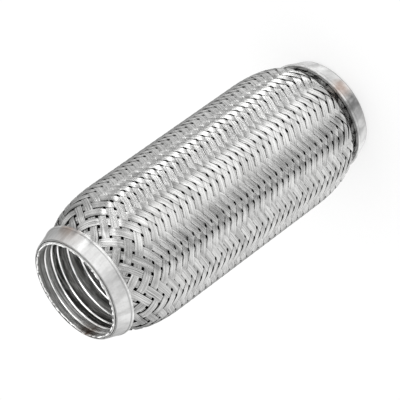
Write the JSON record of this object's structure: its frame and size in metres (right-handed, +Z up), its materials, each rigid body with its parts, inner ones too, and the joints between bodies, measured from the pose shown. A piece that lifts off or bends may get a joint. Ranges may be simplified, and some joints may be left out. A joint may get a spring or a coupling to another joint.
{
  "type": "exhaust flex pipe",
  "caption": "Flexible exhaust pipe section: a braided steel sleeve over a bellows and a folded strip liner, with a flared collar at each open end.",
  "frame": {"origin": "centre of the lower rim, on the surface that the pipe stands on", "axes": "+Z up along the pipe's axis, from the outlet end to the inlet end"},
  "size_m": [0.083, 0.083, 0.203],
  "materials": {
    "collar_steel": "satin, brushed round the pipe",
    "braid_wire": "bright drawn wire",
    "bellows_steel": "mill finish",
    "liner_steel": "rolled strip"
  },
  "bodies": {
    "root": {"inlet_collar": "collar_steel", "outlet_collar": "collar_steel", "outer_braid": "braid_wire", "bellows": "bellows_steel", "interlock_liner": "liner_steel"}
  },
  "joints": []
}
